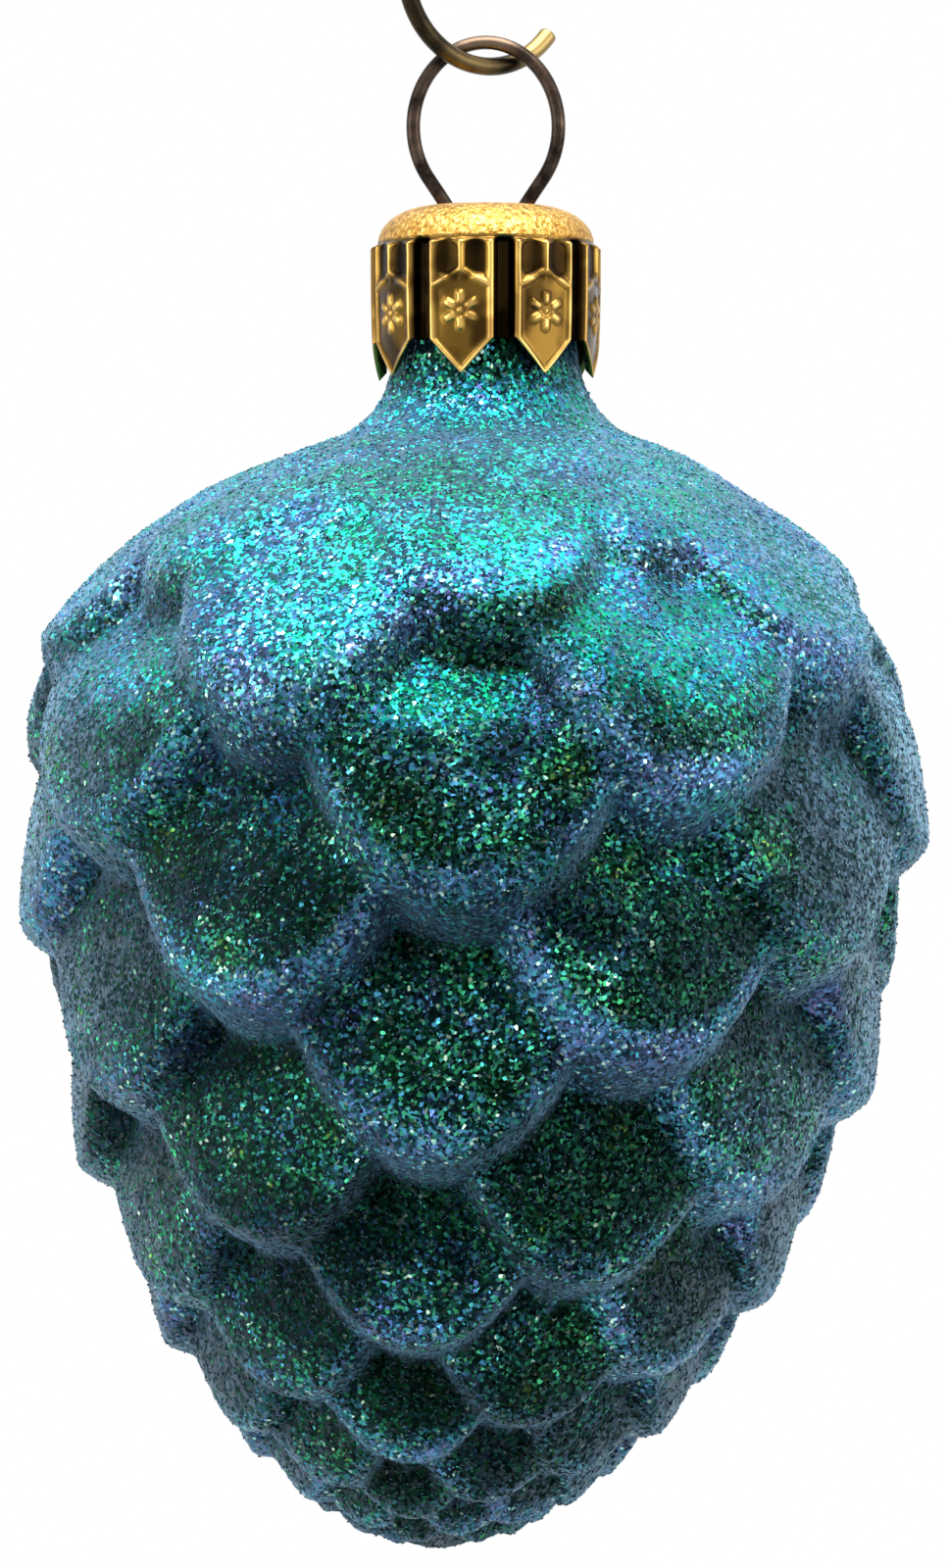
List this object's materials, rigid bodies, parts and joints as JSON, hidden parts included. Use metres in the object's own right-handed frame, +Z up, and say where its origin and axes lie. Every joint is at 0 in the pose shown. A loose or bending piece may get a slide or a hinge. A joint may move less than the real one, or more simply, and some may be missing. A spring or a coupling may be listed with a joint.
{
  "type": "pine cone ornament",
  "caption": "Hollow blown-glass pine cone with moulded scales, a petalled crown cap, a spring wire hanger and an S hook to hang it from a twig.",
  "frame": {"origin": "highest point inside the hook's upper bend, where a twig or a line carries the ornament", "axes": "+Z up along the ornament's height with the tip at the lowest Z, front towards -Y, +X to the right seen from the front"},
  "size_m": [0.052, 0.0522, 0.1075],
  "materials": {
    "glass": "blown glass with a dark green lacquer, covered all over with fine turquoise, green and violet glitter",
    "crown_cap": "gold-coloured stamped sheet, finely pitted on top and polished with dark tone in the hollows of the petals",
    "hanger": "bronze-coloured drawn spring wire",
    "hook": "antique brass plated drawn wire"
  },
  "bodies": {
    "hook": {"hook_wire": "hook"},
    "hanger": {"hanger_wire": "hanger", "crown_cap": "crown_cap"},
    "glass": {"glass_cone": "glass"}
  },
  "joints": [
    {"name": "ornament_swing", "type": "hinge", "parent": "hook", "child": "hanger", "pos_m": [0, 0, -0.02148], "axis": [0.848, 0.5299, 0], "range_deg": [-30, 30]},
    {"name": "glass_pull_off", "type": "slide", "parent": "hanger", "child": "glass", "axis": [0, 0, -1], "range_m": [0, 0.02]}
  ]
}
